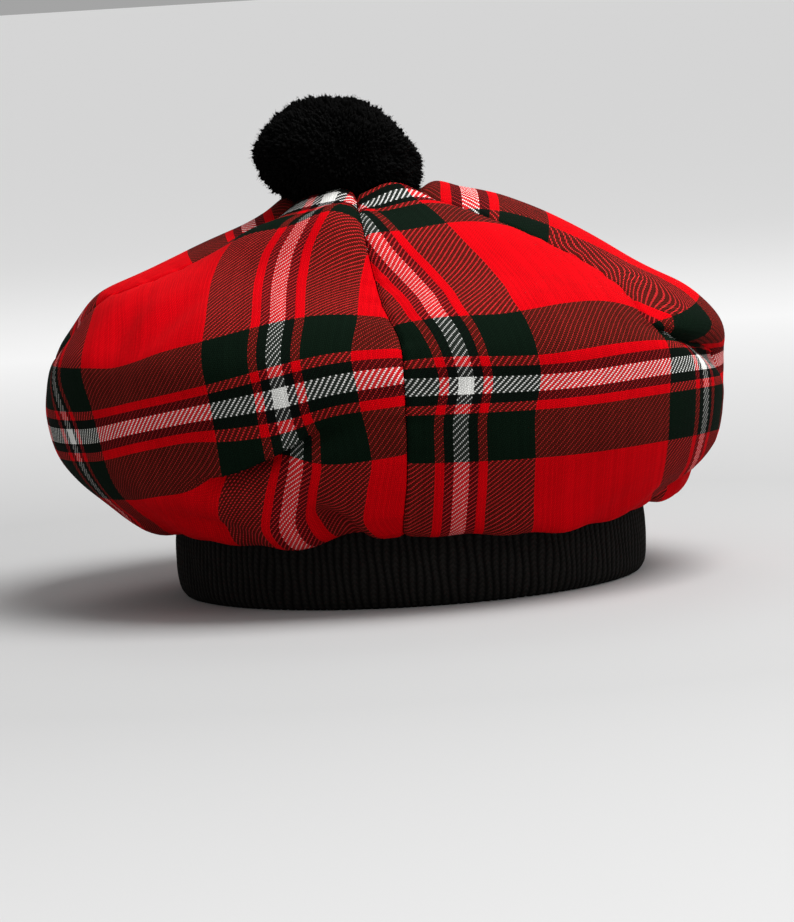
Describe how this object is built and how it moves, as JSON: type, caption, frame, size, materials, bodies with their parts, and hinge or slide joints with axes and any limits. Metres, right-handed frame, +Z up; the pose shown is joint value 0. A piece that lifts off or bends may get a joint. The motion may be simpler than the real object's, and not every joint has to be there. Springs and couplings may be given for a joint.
{
  "type": "tam o' shanter hat",
  "caption": "Soft tartan tam o' shanter: sewn wedge-shaped cloth panels drawn on to a ribbed black knit headband, with a black yarn pompom.",
  "frame": {"origin": "middle of the hat's box in plan, on the surface that the headband rests on", "axes": "+Z up, the front of the hat toward -Y, +X to the right seen from the front"},
  "size_m": [0.2761, 0.2659, 0.1996],
  "materials": {
    "tartan": "soft brushed wool twill woven in a traditional red, green and white tartan",
    "knit": "soft ribbed black knit",
    "yarn": "dense cut black wool yarn"
  },
  "bodies": {
    "root": {"crown_gore_front_left": "tartan", "crown_gore_front_right": "tartan", "crown_gore_right": "tartan", "crown_gore_back_right": "tartan", "crown_gore_back_left": "tartan", "crown_gore_left": "tartan", "headband": "knit", "pompom": "yarn"}
  },
  "joints": []
}
